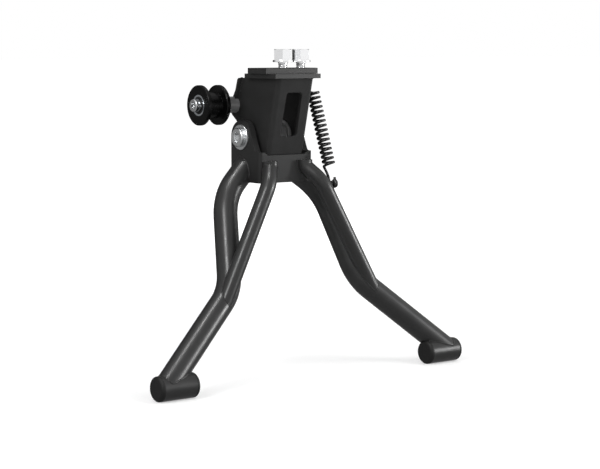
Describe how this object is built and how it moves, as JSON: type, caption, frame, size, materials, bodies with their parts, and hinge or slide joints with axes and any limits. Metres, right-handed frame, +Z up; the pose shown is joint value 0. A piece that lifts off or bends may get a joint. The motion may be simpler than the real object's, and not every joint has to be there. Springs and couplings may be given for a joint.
{
  "type": "bicycle kickstand",
  "caption": "Bicycle centre stand: folded steel bracket under mounting plates, a yoke with splayed tubular legs that folds to the rear, a return spring and a chain roller.",
  "frame": {"origin": "centre of the mounting plate's top face, where the bicycle's frame plate rests", "axes": "+X across the bicycle to the spring's side, +Y towards the bicycle's rear, +Z up out of the mounting plate"},
  "size_m": [0.3876, 0.1414, 0.3392],
  "materials": {
    "bracket_paint": "matt black powder coat",
    "tube_paint": "satin black powder coat",
    "cap_plastic": "black moulded plastic",
    "bolt_steel": "bright zinc plate",
    "pivot_steel": "zinc plate",
    "roller_plastic": "smooth black nylon",
    "bearing_steel": "ground bearing steel",
    "seal_rubber": "black nitrile rubber",
    "bush_polymer": "filled bearing polymer",
    "spring_steel": "black phosphated spring wire"
  },
  "bodies": {
    "base": {"bearing_left_inner_ring": "bearing_steel", "bearing_right_inner_ring": "bearing_steel", "bracket": "bracket_paint", "flange_plate": "bracket_paint", "mounting_bolt_left": "bolt_steel", "mounting_bolt_right": "bolt_steel", "mounting_plate": "bracket_paint", "pivot_bush_left": "bush_polymer", "pivot_bush_right": "bush_polymer", "pivot_collar_left": "tube_paint", "pivot_collar_right": "tube_paint", "pivot_tube": "tube_paint", "roller_boss": "tube_paint", "roller_distance_tube": "bearing_steel", "roller_gusset": "bracket_paint", "roller_screw": "pivot_steel", "roller_shim": "bearing_steel", "roller_washer": "pivot_steel", "spring": "spring_steel", "thrust_washer_left": "bush_polymer", "thrust_washer_right": "bush_polymer"},
    "stand": {"yoke": "bracket_paint", "pivot_bolt": "pivot_steel", "pivot_nut": "pivot_steel", "pivot_washer_left": "pivot_steel", "pivot_washer_right": "pivot_steel", "spring_peg": "tube_paint", "main_tube_left": "tube_paint", "strut_left": "tube_paint", "foot_tube_left": "tube_paint", "foot_cap_left_inner": "cap_plastic", "foot_cap_left_outer": "cap_plastic", "main_tube_right": "tube_paint", "strut_right": "tube_paint", "foot_tube_right": "tube_paint", "foot_cap_right_inner": "cap_plastic", "foot_cap_right_outer": "cap_plastic"},
    "roller": {"roller": "roller_plastic", "bearing_left_outer_ring": "bearing_steel", "bearing_left_balls": "bearing_steel", "bearing_left_seal": "seal_rubber", "bearing_right_outer_ring": "bearing_steel", "bearing_right_balls": "bearing_steel", "bearing_right_seal": "seal_rubber"}
  },
  "joints": [
    {"name": "stand_fold", "type": "hinge", "parent": "base", "child": "stand", "pos_m": [0, 0.028, -0.0722], "axis": [1, 0, 0], "range_deg": [0, 95], "stiffness_Nm_per_rad": 2, "springref_deg": -34.38, "deforming": ["spring"]},
    {"name": "roller_spin", "type": "hinge", "parent": "base", "child": "roller", "pos_m": [-0.0573, 0.0524, -0.039], "axis": [1, 0, 0], "continuous": true}
  ]
}
